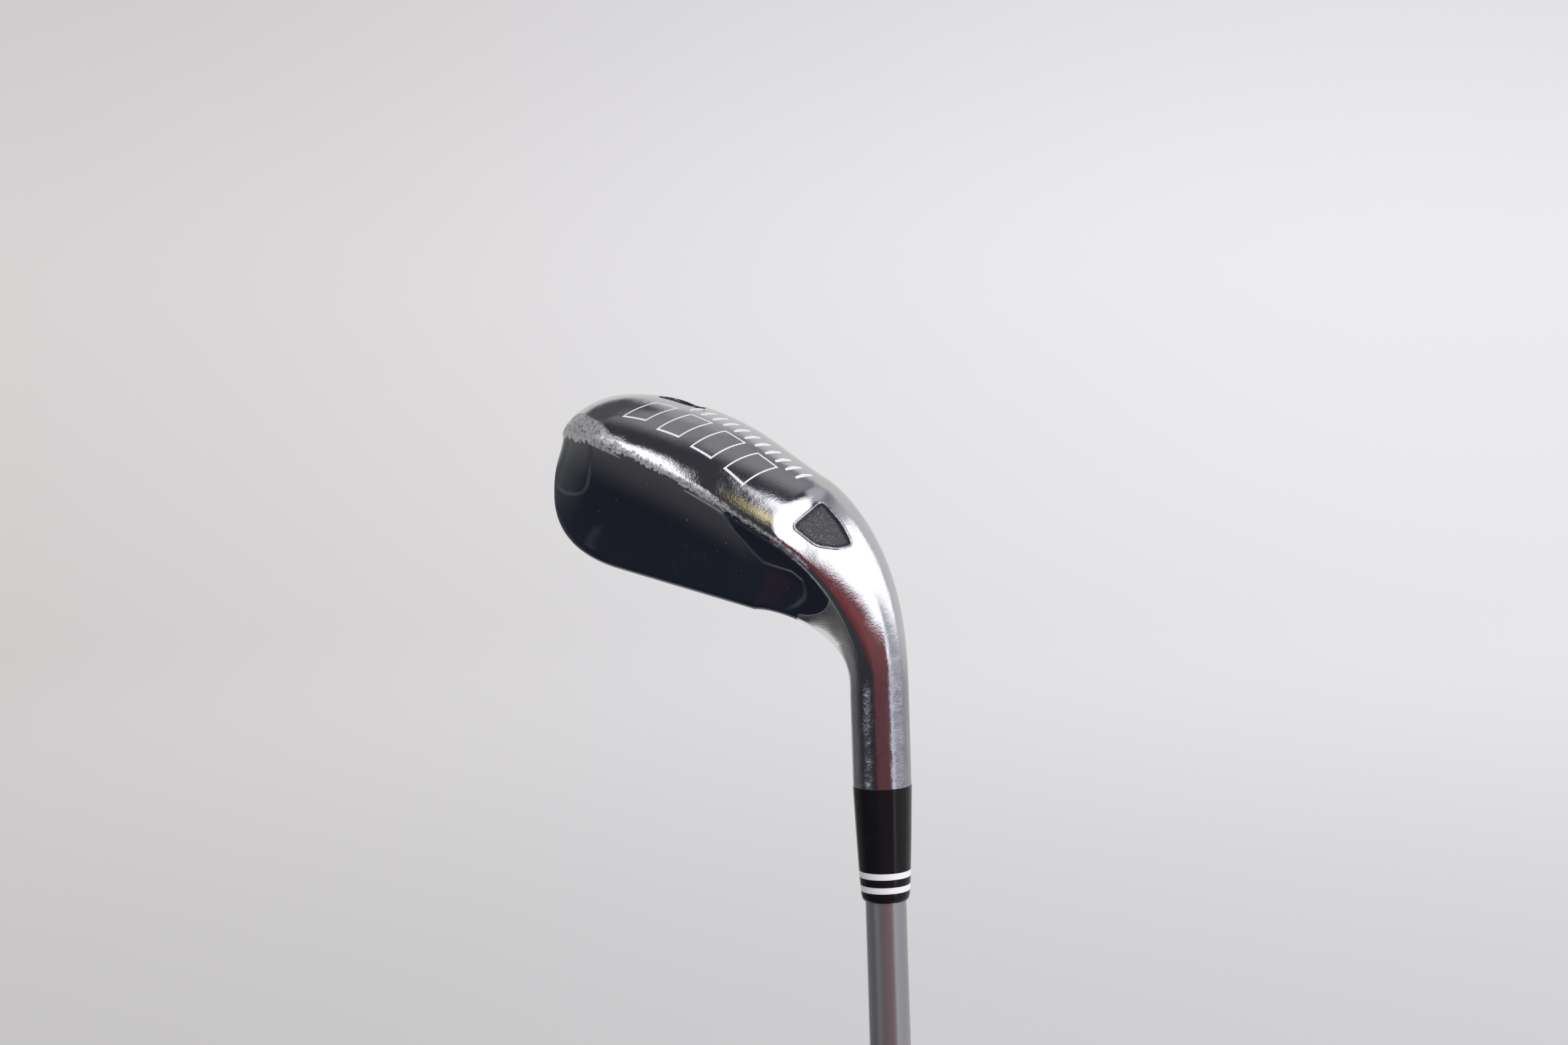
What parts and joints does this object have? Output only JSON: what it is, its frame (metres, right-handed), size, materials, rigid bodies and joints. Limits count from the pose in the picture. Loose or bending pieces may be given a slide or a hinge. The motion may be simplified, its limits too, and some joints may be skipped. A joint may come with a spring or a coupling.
{
  "type": "iron golf club",
  "caption": "Right-handed hollow golf iron with a chromed wide-sole head, black crown panel, banded ferrule, grey graphite shaft and rubber grip.",
  "frame": {"origin": "centre of the butt end of the grip, at the mouth of the vent hole", "axes": "+Z along the shaft from the butt to the head, +X towards the toe, -Y towards the face side"},
  "size_m": [0.0913, 0.0383, 0.9873],
  "materials": {
    "chrome_steel": "polished and scratched",
    "face_steel": "satin, milled",
    "black_paint": "gloss, chipped at the rim",
    "dark_insert": "grainy with metallic flecks",
    "brass": "turned",
    "epoxy": "cured resin",
    "ferrule_black": "polished",
    "white": "polished",
    "shaft_paint": "satin metallic grey",
    "tape": "crepe paper",
    "grip_rubber": "matte, moulded texture"
  },
  "bodies": {
    "root": {"head_body": "chrome_steel", "face_plate": "face_steel", "crown_panel": "black_paint", "heel_inlay": "dark_insert", "toe_inlay": "dark_insert", "swing_weight_pin": "brass", "shaft_epoxy": "epoxy", "ferrule_sleeve": "ferrule_black", "ferrule_ring_front": "white", "ferrule_spacer": "ferrule_black", "ferrule_ring_rear": "white", "ferrule_nose": "ferrule_black", "shaft": "shaft_paint", "grip_tape": "tape", "grip_sleeve": "grip_rubber", "grip_cap": "grip_rubber"}
  },
  "joints": []
}
